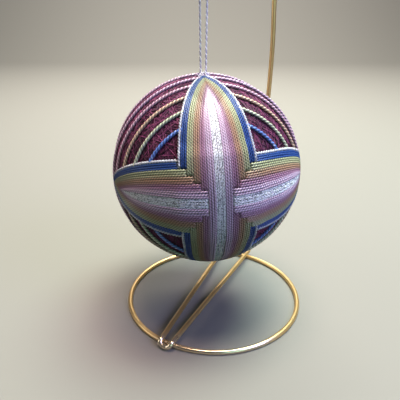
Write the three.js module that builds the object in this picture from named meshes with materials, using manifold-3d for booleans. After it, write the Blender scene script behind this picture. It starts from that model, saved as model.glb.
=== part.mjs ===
// A temari ball, wound with thread and worked with crossed spindles over rings of thread,
// hanging by a doubled cord from a stand of bent wire. Millimetres, +Z up.
import * as THREE from 'three';
import { mergeVertices } from 'three/addons/utils/BufferGeometryUtils.js';
import { ParametricGeometry } from 'three/addons/geometries/ParametricGeometry.js';
import Module from 'manifold-3d';

const wasm = await Module();
wasm.setup();

// Ball: its ground, and how the pattern is turned (degrees) from facing straight forwards
const GROUND_RADIUS = 44.3;
const BALL_CENTRE_HEIGHT = 75.75;
const PATTERN_TURN = 6.9;
const PATTERN_TILT = 3.8;
const PATTERN_ROLL = 2.5;

// Thread rings: angles from their own middle, how far that lies below the front crossing, and the
// strand's size
const RING_ANGLE_FIRST = 44.1;
const RING_ANGLE_LAST = 81;
const RINGS_PER_SIDE = 5;
const RING_DROP = 2.2;
const STRAND_WIDTH = 1.5;
const STRAND_LIFT = 0.6;

// Spindles: half-widths in degrees, how far the level ones lie below the upright ones' middle, and
// the reach to each tip with the power of the curve that narrows to it
const UPRIGHT_SPINDLE_HALF_WIDTH = 20.8;
const LEVEL_SPINDLE_HALF_WIDTH = 23;
const LEVEL_SPINDLE_DROP = 1.6;
const UPPER_END = { reach: 84.8, taper: 2.7 };
const LOWER_END = { reach: 88, taper: 4 };
const LEFT_END = { reach: 84.8, taper: 2.7 };
const RIGHT_END = { reach: 88, taper: 3.3 };

// Spindle heights over the ground in millimetres, and where the hump at a crossing starts and ends,
// as parts of the other spindle's half-width
const SPINDLE_EDGE_LIFT = 0.9;
const SPINDLE_CROWN = 0.35;
const SPINDLE_ROOT_DEPTH = 1.5;
const UPRIGHT_CROSSING_LIFT = 0.6;
const LEVEL_CROSSING_LIFT = 0.25;
const CROSSING_HUMP_START = 0.6;
const CROSSING_HUMP_END = 1.4;

// Sewn foot of the hanging loop, a low mound on top of the ball
const LOOP_X = -1.5;
const LOOP_FOOT_RADIUS = 3.4;
const LOOP_FOOT_RISE = 1.6;
const LOOP_FOOT_SINK = 0.2;

// Stand
const WIRE_DIAMETER = 2.5;
const STAND_RING_RADIUS = 45.9;
const STAND_RING_X = 4.6;
const STAND_RING_HEIGHT = 1.1;
const SEAT_GAP = 0.3;
const UPRIGHT_X = 35.6;
const UPRIGHT_Y = 46;
const HOOK_RADIUS = 5.3;
const HOOK_CENTRE_HEIGHT = 166.3;

// Hanging loop: its cord, and half the distance between its sewn ends
const CORD_DIAMETER = 1;
const CORD_FOOT_REACH = 1.5;

// How finely the curved surfaces are divided
const GROUND_SEGMENTS = 40;
const SPINDLE_STEPS_ALONG = 34;
const SPINDLE_STEPS_ACROSS = 10;
const STAND_RING_SEGMENTS = 48;
const WIRE_SIDES = 8;
const MERGE_TOLERANCE = 1e-4;

const { degToRad, smoothstep } = THREE.MathUtils;
const LEG_HEIGHT = STAND_RING_HEIGHT + WIRE_DIAMETER + SEAT_GAP;
const NOSE_RADIUS = STAND_RING_RADIUS + WIRE_DIAMETER + 2 * SEAT_GAP;

const YARN = new THREE.MeshStandardMaterial({ color: '#7a4a72', roughness: 0.8, metalness: 0 });
const BRASS = new THREE.MeshStandardMaterial({ color: '#c89848', roughness: 0.3, metalness: 1 });
const TINSEL = new THREE.MeshStandardMaterial({ color: '#b8aed0', roughness: 0.45, metalness: 0.4 });

function toSolid(geometry) {
  const bare = geometry.clone();
  bare.deleteAttribute('normal');
  bare.deleteAttribute('uv');
  const merged = mergeVertices(bare, MERGE_TOLERANCE);
  const corners = merged.index.array;
  const triangles = [];
  for (let i = 0; i < corners.length; i += 3) {
    const [a, b, c] = corners.subarray(i, i + 3);
    if (a !== b && b !== c && c !== a) triangles.push(a, b, c);
  }
  return new wasm.Manifold(new wasm.Mesh({
    numProp: 3,
    vertProperties: merged.attributes.position.array,
    triVerts: new Uint32Array(triangles),
  }));
}

function toGeometry(solid) {
  const mesh = solid.getMesh();
  const geometry = new THREE.BufferGeometry();
  geometry.setAttribute('position', new THREE.BufferAttribute(mesh.vertProperties, 3));
  geometry.setIndex(new THREE.BufferAttribute(mesh.triVerts, 1));
  geometry.computeVertexNormals();
  return geometry;
}

// Ground of the ball, turned about the rings' axis, with a ridge for each ring
function wrappedGround() {
  const ridgeHalf = THREE.MathUtils.radToDeg(STRAND_WIDTH / 2 / GROUND_RADIUS);
  const ridgeShape = [
    { reach: -1, rise: 0 },
    { reach: -0.6, rise: 0.75 },
    { reach: 0, rise: 1 },
    { reach: 0.6, rise: 0.75 },
    { reach: 1, rise: 0 },
  ];
  const frontHalf = [0, 12, 24, 35].map((angle) => ({ angle, lift: 0 }));
  const step = (RING_ANGLE_LAST - RING_ANGLE_FIRST) / (RINGS_PER_SIDE - 1);
  for (let ring = 0; ring < RINGS_PER_SIDE; ring += 1) {
    const angle = RING_ANGLE_FIRST + ring * step;
    for (const { reach, rise } of ridgeShape) {
      frontHalf.push({ angle: angle + reach * ridgeHalf, lift: rise * STRAND_LIFT });
    }
  }
  const backHalf = frontHalf.map(({ angle, lift }) => ({ angle: 180 - angle, lift })).toReversed();
  const stations = [...frontHalf, { angle: 90, lift: 0 }, ...backHalf];
  const profile = stations.map(({ angle, lift }) => {
    const radius = GROUND_RADIUS + lift;
    const onAxis = angle === 0 || angle === 180;
    const reach = onAxis ? 0 : radius * Math.sin(degToRad(angle));
    return new THREE.Vector2(reach, -radius * Math.cos(degToRad(angle)));
  });
  return toSolid(new THREE.LatheGeometry(profile, GROUND_SEGMENTS).rotateX(degToRad(RING_DROP)));
}

// One leaf-shaped spindle: it lies along one great circle, over the point that it faces
function spindle({ face, along, firstEnd, lastEnd, halfWidth, otherHalfWidth, crossingLift }) {
  const across = new THREE.Vector3().crossVectors(along, face);
  const section = [];
  for (let i = 0; i <= SPINDLE_STEPS_ACROSS; i += 1) {
    const side = (2 * i) / SPINDLE_STEPS_ACROSS - 1;
    section.push({ side, lift: SPINDLE_EDGE_LIFT + SPINDLE_CROWN * (1 - side * side), outer: true });
  }
  for (const side of [1, 0, -1]) section.push({ side, lift: -SPINDLE_ROOT_DEPTH, outer: false });

  const surface = (u, v, target) => {
    const { side, lift, outer } = section[Math.round(u * section.length) % section.length];
    const place = 2 * v - 1;
    const { reach, taper } = place < 0 ? firstEnd : lastEnd;
    const run = degToRad(place * reach);
    const width = degToRad(side * halfWidth * (1 - Math.abs(place) ** taper));
    const offCrossing = Math.abs(place) * reach / otherHalfWidth;
    const fall = smoothstep(offCrossing, CROSSING_HUMP_START, CROSSING_HUMP_END);
    const hump = outer ? crossingLift * (1 - fall) : 0;
    target.copy(face).multiplyScalar(Math.cos(run)).addScaledVector(along, Math.sin(run));
    target.multiplyScalar(Math.cos(width)).addScaledVector(across, Math.sin(width));
    target.multiplyScalar(GROUND_RADIUS + lift + hump);
  };
  return toSolid(new ParametricGeometry(surface, section.length, SPINDLE_STEPS_ALONG));
}

function temariBall() {
  const right = new THREE.Vector3(1, 0, 0);
  const top = new THREE.Vector3(0, 0, 1);
  const drop = degToRad(LEVEL_SPINDLE_DROP);
  let ball = wrappedGround();
  for (const side of [-1, 1]) {
    ball = ball.add(spindle({
      face: new THREE.Vector3(0, side * Math.cos(drop), -Math.sin(drop)),
      along: right,
      firstEnd: LEFT_END,
      lastEnd: RIGHT_END,
      halfWidth: LEVEL_SPINDLE_HALF_WIDTH,
      otherHalfWidth: UPRIGHT_SPINDLE_HALF_WIDTH,
      crossingLift: LEVEL_CROSSING_LIFT,
    }));
    ball = ball.add(spindle({
      face: new THREE.Vector3(0, side, 0),
      along: top,
      firstEnd: LOWER_END,
      lastEnd: UPPER_END,
      halfWidth: UPRIGHT_SPINDLE_HALF_WIDTH,
      otherHalfWidth: LEVEL_SPINDLE_HALF_WIDTH,
      crossingLift: UPRIGHT_CROSSING_LIFT,
    }));
  }
  const turn = new THREE.Euler(
    degToRad(-PATTERN_TILT), degToRad(-PATTERN_ROLL), degToRad(PATTERN_TURN), 'ZXY',
  );
  const pattern = toGeometry(ball).applyMatrix4(new THREE.Matrix4().makeRotationFromEuler(turn));
  const foot = new THREE.SphereGeometry(1, 14, 8);
  foot.rotateX(Math.PI / 2);
  foot.scale(LOOP_FOOT_RADIUS, LOOP_FOOT_RADIUS, LOOP_FOOT_RISE);
  foot.translate(LOOP_X, 0, GROUND_RADIUS - LOOP_FOOT_SINK);
  return toGeometry(toSolid(pattern).add(toSolid(foot)));
}

// A closed round of wire, its underside flattened where it rests
function standRing() {
  const radius = WIRE_DIAMETER / 2;
  const flatEnd = Math.asin(-STAND_RING_HEIGHT / radius);
  const sweep = Math.PI - 2 * flatEnd;
  const arcSteps = 8;
  const profile = [];
  for (let i = 0; i <= arcSteps; i += 1) {
    const angle = flatEnd + (sweep * i) / arcSteps;
    profile.push(new THREE.Vector2(
      STAND_RING_RADIUS + radius * Math.cos(angle),
      STAND_RING_HEIGHT + radius * Math.sin(angle),
    ));
  }
  profile.push(profile[0].clone());
  const ring = new THREE.LatheGeometry(profile, STAND_RING_SEGMENTS);
  return toGeometry(toSolid(ring.rotateX(Math.PI / 2)));
}

// A curve that shares its steps evenly between its points, so close points make fine bends
class BendCurve extends THREE.CatmullRomCurve3 {
  constructor(points) {
    super(points, false, 'centripetal');
  }

  getPointAt(u, target) {
    return this.getPoint(u, target);
  }

  getTangentAt(u, target) {
    return this.getTangent(u, target);
  }
}

function roundTube(points, diameter, stepsPerSpan) {
  const corners = [];
  for (let i = 0; i < WIRE_SIDES; i += 1) {
    const angle = (2 * Math.PI * i) / WIRE_SIDES;
    corners.push(new THREE.Vector2(Math.cos(angle), Math.sin(angle)).multiplyScalar(diameter / 2));
  }
  const tube = new THREE.ExtrudeGeometry(new THREE.Shape(corners), {
    extrudePath: new BendCurve(points),
    steps: (points.length - 1) * stepsPerSpan,
    bevelEnabled: false,
  });
  return toGeometry(toSolid(tube));
}

function byStandRing({ radius, angle, height }) {
  return new THREE.Vector3(
    STAND_RING_X + radius * Math.cos(degToRad(angle)),
    radius * Math.sin(degToRad(angle)),
    height,
  );
}

// A straight leg across the ring: where it passes over the wire, and points that keep it straight
function leg(fromAngle, toAngle) {
  const start = byStandRing({ radius: STAND_RING_RADIUS, angle: fromAngle, height: LEG_HEIGHT });
  const end = byStandRing({ radius: STAND_RING_RADIUS, angle: toAngle, height: LEG_HEIGHT });
  return [0, 0.06, 0.5, 0.94, 1].map((part) => start.clone().lerp(end, part));
}

// The plane of the arch runs from the upright to the hanging loop
const archStart = new THREE.Vector3(UPRIGHT_X, UPRIGHT_Y, 0);
const hookPlace = new THREE.Vector3(LOOP_X, 0, 0);
const archSpan = archStart.distanceTo(hookPlace);
const archWay = hookPlace.clone().sub(archStart).normalize();
const acrossArch = new THREE.Vector3(-archWay.y, archWay.x, 0);

function inArch(distance, height) {
  return archStart.clone().addScaledVector(archWay, distance).setZ(height);
}

function arcPoints(centreDistance, centreHeight, radius, fromAngle, toAngle, count) {
  return Array.from({ length: count }, (_, i) => {
    const angle = degToRad(fromAngle + ((toAngle - fromAngle) * i) / (count - 1));
    return inArch(centreDistance + radius * Math.cos(angle), centreHeight + radius * Math.sin(angle));
  });
}

// The stand's one bent wire, from the tail of the left leg to the tip of the hook
function standWire() {
  const leftBack = 81.1;
  const leftFront = 236.5;
  const rightFront = 244.2;
  const rightBack = 60.6;
  const tail = [
    { radius: NOSE_RADIUS + 0.1, angle: leftBack + 0.2, height: 1.9 },
    { radius: NOSE_RADIUS - 0.2, angle: leftBack + 0.2, height: 2.9 },
    { radius: NOSE_RADIUS - 1.4, angle: leftBack + 0.1, height: 3.7 },
  ];
  const nose = [
    { radius: NOSE_RADIUS - 1.3, angle: leftFront + 0.2, height: 3.65 },
    { radius: NOSE_RADIUS - 0.2, angle: leftFront + 0.7, height: 2.7 },
    { radius: NOSE_RADIUS + 0.1, angle: leftFront + 2, height: 1.8 },
    { radius: NOSE_RADIUS + 0.2, angle: (leftFront + rightFront) / 2, height: 1.6 },
    { radius: NOSE_RADIUS + 0.1, angle: rightFront - 2, height: 1.8 },
    { radius: NOSE_RADIUS - 0.2, angle: rightFront - 0.7, height: 2.7 },
    { radius: NOSE_RADIUS - 1.3, angle: rightFront - 0.2, height: 3.65 },
  ];
  const heel = [
    { radius: NOSE_RADIUS - 1, angle: rightBack, height: 4.4 },
    { radius: NOSE_RADIUS + 0.4, angle: rightBack, height: 6.2 },
    { radius: NOSE_RADIUS + 0.9, angle: rightBack, height: 10 },
  ];
  const upright = [
    { x: 31.5, y: 44.5, z: 40 },
    { x: 33.9, y: 45.4, z: 72 },
    { x: 35.5, y: 46, z: 103 },
    { x: 36.1, y: 46, z: 130 },
    { x: UPRIGHT_X, y: UPRIGHT_Y, z: 151 },
  ];
  const hookSide = archSpan - HOOK_RADIUS;
  const archRadius = hookSide / 2;
  return [
    ...tail.map(byStandRing),
    ...leg(leftBack, leftFront),
    ...nose.map(byStandRing),
    ...leg(rightFront, rightBack),
    ...heel.map(byStandRing),
    ...upright.map(({ x, y, z }) => new THREE.Vector3(x, y, z)),
    ...arcPoints(archRadius, HOOK_CENTRE_HEIGHT, archRadius, 180, 0, 9),
    ...arcPoints(archSpan, HOOK_CENTRE_HEIGHT, HOOK_RADIUS, 205, 390, 8),
  ];
}

// Half of the hanging loop: how far each point lies from the hook's plane, and its height
const cordReach = WIRE_DIAMETER / 2 + SEAT_GAP + CORD_DIAMETER / 2;
const hookSeat = HOOK_CENTRE_HEIGHT - HOOK_RADIUS;
const footHeight = BALL_CENTRE_HEIGHT + GROUND_RADIUS - LOOP_FOOT_SINK
  + LOOP_FOOT_RISE * Math.sqrt(1 - (CORD_FOOT_REACH / LOOP_FOOT_RADIUS) ** 2);
const HALF_LOOP = [
  { out: CORD_FOOT_REACH, height: footHeight + SEAT_GAP + 0.1 },
  { out: 1.58, height: 126 },
  { out: 1.67, height: 132 },
  { out: 1.77, height: 138 },
  { out: 1.87, height: 144 },
  { out: 1.97, height: 150 },
  { out: cordReach, height: 156 },
  { out: cordReach, height: hookSeat - 1.5 },
  { out: cordReach, height: hookSeat },
  { out: cordReach * Math.cos(degToRad(30)), height: hookSeat + cordReach * Math.sin(degToRad(30)) },
  { out: cordReach * Math.cos(degToRad(60)), height: hookSeat + cordReach * Math.sin(degToRad(60)) },
];
const LOOP_TOP = { out: 0, height: hookSeat + cordReach };

function hangingLoop() {
  const otherHalf = HALF_LOOP.toReversed().map(({ out, height }) => ({ out: -out, height }));
  const route = [...HALF_LOOP, LOOP_TOP, ...otherHalf];
  return route.map(({ out, height }) => hookPlace.clone().addScaledVector(acrossArch, out).setZ(height));
}

function piece(name, geometry, material) {
  const mesh = new THREE.Mesh(geometry, material);
  mesh.name = name;
  return mesh;
}

const ball = piece('temari_ball', temariBall(), YARN);
ball.position.z = BALL_CENTRE_HEIGHT;
const stand = new THREE.Group();
stand.add(piece('stand_ring', standRing(), BRASS));
stand.children[0].position.x = STAND_RING_X;
stand.add(piece('stand_wire', roundTube(standWire(), WIRE_DIAMETER, 2), BRASS));
const loop = piece('hanging_loop', roundTube(hangingLoop(), CORD_DIAMETER, 1), TINSEL);

// The origin is on the surface that the stand rests on, at the middle of the part's footprint
const assembly = new THREE.Group();
assembly.add(ball, stand);
assembly.updateMatrixWorld(true);
const middle = new THREE.Box3().setFromObject(assembly, true).getCenter(new THREE.Vector3());
assembly.add(loop);
assembly.position.set(-middle.x, -middle.y, 0);

const part = new THREE.Group();
part.add(assembly);
part.updateMatrixWorld(true);

export default part;
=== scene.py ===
"""A temari ball hanging by a doubled cord from a stand of bent brass wire. Metres, +Z up."""
import math
from typing import NamedTuple

import bpy
import numpy as np
from bpy.props import FloatProperty, FloatVectorProperty, IntProperty, PointerProperty
from bpy.types import Operator, Panel, PropertyGroup
from mathutils import Matrix, Vector


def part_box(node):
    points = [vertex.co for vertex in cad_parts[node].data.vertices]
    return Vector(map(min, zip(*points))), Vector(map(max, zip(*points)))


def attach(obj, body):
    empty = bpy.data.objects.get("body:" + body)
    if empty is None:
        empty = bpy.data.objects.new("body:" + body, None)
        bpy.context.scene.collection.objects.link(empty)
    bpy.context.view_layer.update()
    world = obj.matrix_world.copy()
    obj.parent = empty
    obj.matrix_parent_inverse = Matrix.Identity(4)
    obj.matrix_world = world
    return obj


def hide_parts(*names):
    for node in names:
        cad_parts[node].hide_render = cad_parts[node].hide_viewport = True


bl_info = {
    "name": "Temari Ball on a Wire Stand",
    "version": (1, 0, 0),
    "blender": (4, 5, 0),
    "location": "3D View > Sidebar > Temari",
    "description": "Winds and stitches a temari ball, hangs it on its stand and sets the stage",
    "category": "Add Mesh",
}

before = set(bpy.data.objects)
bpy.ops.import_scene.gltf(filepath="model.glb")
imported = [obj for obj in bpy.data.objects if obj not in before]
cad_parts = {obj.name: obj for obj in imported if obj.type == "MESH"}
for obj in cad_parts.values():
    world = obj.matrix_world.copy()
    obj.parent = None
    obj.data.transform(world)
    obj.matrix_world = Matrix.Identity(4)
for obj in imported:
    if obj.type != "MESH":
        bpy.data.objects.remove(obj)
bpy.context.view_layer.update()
MM = 0.001

# Where things are: the ball hangs a little to the left of the middle of the stand's ring
RING_LOW, RING_HIGH = (np.array(corner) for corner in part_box("stand_ring"))
RING_MIDDLE = (RING_LOW + RING_HIGH) / 2
BALL_TO_RING = 4.6 * MM
BALL_HEIGHT = 75.75 * MM
BALL_CENTRE = np.array((RING_MIDDLE[0] - BALL_TO_RING, RING_MIDDLE[1], BALL_HEIGHT))
FRONT = np.array((0.0, -1.0, 0.0))
RIGHT = np.array((1.0, 0.0, 0.0))
TOP = np.array((0.0, 0.0, 1.0))

# Random draws are seeded, so that the ball comes out the same each time
CORE_SEED, GROUND_SEED, RING_SEED, SPINDLE_SEED = 3, 11, 5, 23
ANY_TURN = (0, 6.28)

# Places of the finishes on a spindle
COTTON, TINSEL, SILVER = 0, 1, 2


class Band(NamedTuple):
    """Rows of one colour, from the edge of a spindle inwards."""

    colour: str
    outer: float
    rows: int
    course: int
    finish: int


# Outer edges in degrees at the middle of the upright spindle, which is SPINDLE_EDGE wide from its
# middle. Bands of one course are stitched on both spindles before the next course is begun, so the
# later course lies on top of it.
SPINDLE_EDGE = 20.8
BANDS = (
    Band("border", 21.0, 1, 0, TINSEL),
    Band("blue", 19.6, 3, 0, COTTON),
    Band("olive", 16.3, 3, 1, COTTON),
    Band("orange", 12.9, 3, 2, COTTON),
    Band("mauve", 9.5, 3, 3, COTTON),
    Band("lavender", 6.1, 3, 4, COTTON),
    Band("silver", 2.4, 3, 4, SILVER),
)
RING_COLOURS = ("ring_blue", "ring_lime", "ring_peach", "ring_pink", "ring_lilac")


def linear(code):
    """The linear colour of a six-digit sRGB code."""
    steps = [int(code[i:i + 2], 16) / 255 for i in (0, 2, 4)]
    return tuple(s / 12.92 if s <= 0.04045 else ((s + 0.055) / 1.055) ** 2.4 for s in steps)


def length(name, description, millimetres):
    """A size property, with its default in millimetres."""
    default = millimetres * MM
    return FloatProperty(name=name, description=description, default=default, unit="LENGTH")


def angle(name, description, degrees):
    """An angle property, with its default in degrees."""
    default = math.radians(degrees)
    return FloatProperty(name=name, description=description, default=default, subtype="ANGLE")


def power(name, description, exponent):
    """A property for the power of a curve."""
    return FloatProperty(name=name, description=description, default=exponent, min=1)


def colour(name, description, code):
    """A colour property, with its default as an sRGB code."""
    return FloatVectorProperty(
        name=name, description=description, default=linear(code),
        size=3, min=0, max=1, subtype="COLOR",
    )


class TemariBallSizes(PropertyGroup):
    """Sizes of the ball and of the threads on it"""

    ground: length("Ground radius", "Radius of the wound ground, without the stitching", 44.3)
    turn: angle("Turn", "How far the front crossing is turned to the right", 6.9)
    tilt: angle("Tilt", "How far the front crossing is tilted up", 3.8)
    roll: angle("Roll", "How far the pattern is rolled about the front crossing", 2.5)
    upright_width: angle("Upright half-width", "Half-width of the upright spindles", SPINDLE_EDGE)
    level_width: angle("Level half-width", "Half-width of the level spindles", 23.0)
    level_drop: angle("Level drop", "How far the level spindles lie below the crossing", 1.6)
    upper_reach: angle("Upper reach", "From the crossing to the upper tip", 84.8)
    lower_reach: angle("Lower reach", "From the crossing to the lower tip", 88.0)
    left_reach: angle("Left reach", "From the crossing to the left tip", 84.8)
    right_reach: angle("Right reach", "From the crossing to the right tip", 88.0)
    upper_taper: power("Upper taper", "How suddenly the upper end narrows to its tip", 2.7)
    lower_taper: power("Lower taper", "How suddenly the lower end narrows to its tip", 4.0)
    left_taper: power("Left taper", "How suddenly the left end narrows to its tip", 2.7)
    right_taper: power("Right taper", "How suddenly the right end narrows to its tip", 3.3)
    padding: length("Padding", "Height of the first rows over the ground", 0.2)
    crown: length("Crown", "How much higher a spindle is along its middle", 0.35)
    crossing: length("Crossing lift", "How high an upper row rides over a lower one", 0.65)
    ply_pitch: length("Ply pitch", "Length of one turn of a row's two plies", 2.6)
    first_ring: angle("First ring", "From the middle of the thread rings to the nearest one", 44.1)
    last_ring: angle("Last ring", "From the middle of the thread rings to the farthest one", 81.0)
    ring_drop: angle("Ring drop", "How far the rings' middle lies below the front crossing", 2.2)
    strand: length("Ring strand", "Thickness of a thread ring", 1.6)
    strand_pitch: length("Ring strand pitch", "Length of one turn of a ring's two plies", 3.4)
    winding: length("Winding", "Thickness of the winding thread", 0.5)
    windings: IntProperty(
        name="Windings", description="Rounds of winding thread", default=430, min=50
    )


class TemariColours(PropertyGroup):
    """Colours of the threads, the stand and the floor"""

    border: colour("Border", "Bright edge rows", "9ea0ae")
    blue: colour("Blue", "Blue rows", "264a90")
    olive: colour("Olive", "Olive yellow rows", "a0a482")
    orange: colour("Orange", "Orange rows", "a6826a")
    mauve: colour("Mauve", "Mauve rows", "9e738f")
    lavender: colour("Lavender", "Lavender rows", "cab0c8")
    silver: colour("Silver", "Silver middle rows", "f2f0f6")
    ring_blue: colour("Blue ring", "First thread ring", "5a7cc8")
    ring_lime: colour("Lime ring", "Second thread ring", "c4cab0")
    ring_peach: colour("Peach ring", "Third thread ring", "d2b29a")
    ring_pink: colour("Pink ring", "Fourth thread ring", "caa2b8")
    ring_lilac: colour("Lilac ring", "Fifth thread ring", "c6a6c2")
    wine: colour("Wine", "Winding thread", "5c2948")
    wine_dark: colour("Dark wine", "Shaded winding thread", "2c1525")
    wine_bright: colour("Bright wine", "Lighter winding thread", "803b62")
    cord_light: colour("Light ply", "Light ply of the hanging loop", "fcf8ff")
    cord_dark: colour("Dark ply", "Dark ply of the hanging loop", "b4acc4")
    foot: colour("Foot", "Thread wound round the foot of the hanging loop", "806e94")
    stitch: colour("Foot stitches", "Stitches that hold the hanging loop", "a69eb4")
    brass: colour("Brass", "Wire of the stand", "e8c488")
    tarnish: colour("Tarnish", "Duller places on the wire", "a47e48")
    # Paler colour of the wire towards the front of the stand
    pale_front: colour("Rubbed", "Wire worn bright at the front of the stand", "d6cdba")
    floor: colour("Floor", "Pale floor", "807e79")
    floor_grain: colour("Floor grain", "Faint grain of the floor", "8c8880")


class TemariStandSizes(PropertyGroup):
    """Sizes of the stand and the hanging loop"""

    wire: length("Wire", "Diameter of the stand's wire", 2.5)
    ring_radius: length("Ring radius", "Radius of the ring that the stand rests on", 45.9)
    ring_height: length("Ring height", "Height of the middle of the ring's wire", 1.1)
    seat_gap: length("Seat gap", "Air between pieces that rest on each other", 0.3)
    hook_radius: length("Hook radius", "Radius of the hook", 5.3)
    hook_height: length("Hook height", "Height of the middle of the hook's bend", 166.3)
    upright_x: length("Upright across", "The upright's top, to the right of the ball", 35.6)
    upright_y: length("Upright depth", "The upright's top, behind the ball", 46.0)
    loop_x: length("Loop across", "Place of the hanging loop, to the right of the ball", -1.5)
    cord: length("Cord", "Diameter of the hanging loop's cord", 1.0)
    cord_foot: length("Cord foot", "Half the distance between the loop's sewn ends", 1.5)
    cord_pitch: length("Cord pitch", "Length of one turn of the cord's two plies", 2.6)
    foot_radius: length("Foot radius", "Radius of the sewn foot of the loop", 3.4)
    foot_rise: length("Foot rise", "Height of the sewn foot over the ground", 1.6)
    foot_sink: length("Foot sink", "How far the sewn foot is pulled in", 0.2)


class Value:
    """A socket of a shader node, on which arithmetic adds Math nodes."""

    def __init__(self, finish, socket):
        self.finish = finish
        self.socket = socket

    def math(self, operation, first, second):
        """A Math node on two numbers or values."""
        return self.finish.node("ShaderNodeMath", {"operation": operation}, {0: first, 1: second})

    def __add__(self, other):
        return self.math("ADD", self, other)

    def __radd__(self, other):
        return self.math("ADD", other, self)

    def __sub__(self, other):
        return self.math("SUBTRACT", self, other)

    def __rsub__(self, other):
        return self.math("SUBTRACT", other, self)

    def __mul__(self, other):
        return self.math("MULTIPLY", self, other)

    def __rmul__(self, other):
        return self.math("MULTIPLY", other, self)

    def __gt__(self, other):
        return self.math("GREATER_THAN", self, other)

    def __lt__(self, other):
        return self.math("LESS_THAN", self, other)

    def between(self, low, high):
        """Low where the value is 0, and high where it is 1."""
        return low + (high - low) * self


# How many finer layers a noise has
PLAIN, FINE, FINEST = 2.0, 3.0, 4.0

# Sockets for colours on a Mix node, by number, because those for other types share their names
MIX_AMOUNT, MIX_FIRST, MIX_SECOND, MIX_RESULT = 0, 6, 7, 2


class Finish:
    """A material whose nodes are added one by one."""

    def __init__(self, name):
        self.material = bpy.data.materials.new(name)
        self.material.use_nodes = True
        self.tree = self.material.node_tree
        self.shader = self.tree.nodes["Principled BSDF"]

    def set(self, socket, value):
        """Links a socket to a value, or gives it a number or a colour."""
        if isinstance(value, Value):
            self.tree.links.new(value.socket, socket)
            return
        if socket.type == "RGBA" and len(value) == 3:
            value = (*value, 1.0)
        socket.default_value = value

    def node(self, kind, settings=None, sockets=None, output=0):
        """Adds a node: its settings first, then the values or links of its sockets."""
        node = self.tree.nodes.new(kind)
        for name, value in (settings or {}).items():
            setattr(node, name, value)
        for key, value in (sockets or {}).items():
            self.set(node.inputs[key], value)
        return Value(self, node.outputs[output])

    def surface(self, **sockets):
        """Sets the shader's own sockets, named with underscores for spaces."""
        for name, value in sockets.items():
            self.set(self.shader.inputs[name.replace("_", " ")], value)
        return self.material

    def place(self):
        """The place of a point on its piece."""
        return self.node("ShaderNodeTexCoord", output="Object")

    def attribute(self, name, output):
        """What the mesh keeps at each of its points under a name."""
        return self.node("ShaderNodeAttribute", {"attribute_name": name}, output=output)

    def noise(self, scale, detail=PLAIN):
        """Soft random spots, with their scale per metre."""
        sockets = {"Vector": self.place(), "Scale": scale, "Detail": detail}
        return self.node("ShaderNodeTexNoise", sockets=sockets)

    def scaled(self, shade, amount):
        """A colour made lighter or darker."""
        sockets = {"Vector": shade, "Scale": amount}
        return self.node("ShaderNodeVectorMath", {"operation": "SCALE"}, sockets)

    def mixed(self, amount, first, second):
        """Two colours mixed, with the amount of the second."""
        sockets = {MIX_AMOUNT: amount, MIX_FIRST: first, MIX_SECOND: second}
        return self.node("ShaderNodeMix", {"data_type": "RGBA"}, sockets, MIX_RESULT)

    def bump(self, height, strength, distance):
        """Normals for a fine relief."""
        sockets = {"Height": height, "Strength": strength, "Distance": distance}
        return self.node("ShaderNodeBump", sockets=sockets)


# Finishes: a scale is per metre, a pair of numbers is for the low and the high end of what it
# follows, and a bump is its strength and its height
FIBRE_SCALE = 5200.0
FADE_SCALE = 160.0
# PLY_LIGHT is painted light and shade across a ply: darker in its valley, lighter on its crest
PLY_LIGHT = (0.5, 1.32)
FIBRE_LIGHT = (0.86, 1.14)
FADE_LIGHT = (0.92, 1.08)
COTTON_ROUGHNESS = (0.44, 0.32)
COTTON_SPECULAR = 0.55
COTTON_BUMP = (0.15, 0.05 * MM)


def cotton_finish():
    """Twisted cotton: painted shade between the plies and on the sides of rows, uneven along the
    thread, with fine fibres.
    """
    cotton = Finish("cotton_thread")
    ridge_shade = cotton.attribute("ridge_shade", "Fac")
    fibres = cotton.noise(FIBRE_SCALE, FINE)
    fade = cotton.noise(FADE_SCALE)
    light = ridge_shade.between(*PLY_LIGHT) * fibres.between(*FIBRE_LIGHT) * fade.between(*FADE_LIGHT)
    return cotton.surface(
        Base_Color=cotton.scaled(cotton.attribute("tint", "Color"), light),
        Roughness=fibres.between(*COTTON_ROUGHNESS),
        Specular_IOR_Level=COTTON_SPECULAR,
        Normal=cotton.bump(fibres, *COTTON_BUMP),
    )


class Foil(NamedTuple):
    """A metallic thread: the scale of its facets, and the shares that are dull or carry a painted
    glint.
    """

    name: str
    facet_scale: float
    dull_share: float
    dull_light: float
    glint_share: float
    valley_light: float
    specular: float


SILVER_FOIL = Foil("silver_thread", 2000.0, 0.3, 0.42, 0.36, 0.95, 0.6)
TINSEL_FOIL = Foil("tinsel_thread", 1700.0, 0.25, 0.65, 0.2, 0.9, 0.8)
RING_FOIL = Foil("ring_thread", 1900.0, 0.2, 0.8, 0.04, 0.35, 0.7)
RIDGE_LIGHT = 1.4
# Glints are painted highlights: white mixed into the foil's colour
GLINT_COLOUR = linear("ffffff")
GLINT_AMOUNT = 0.85
FOIL_METALLIC = 0.12
FOIL_ROUGHNESS = (0.45, 0.2)
DULL_ROUGHNESS = 0.45
FOIL_BUMP = (0.4, 0.12 * MM)


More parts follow.
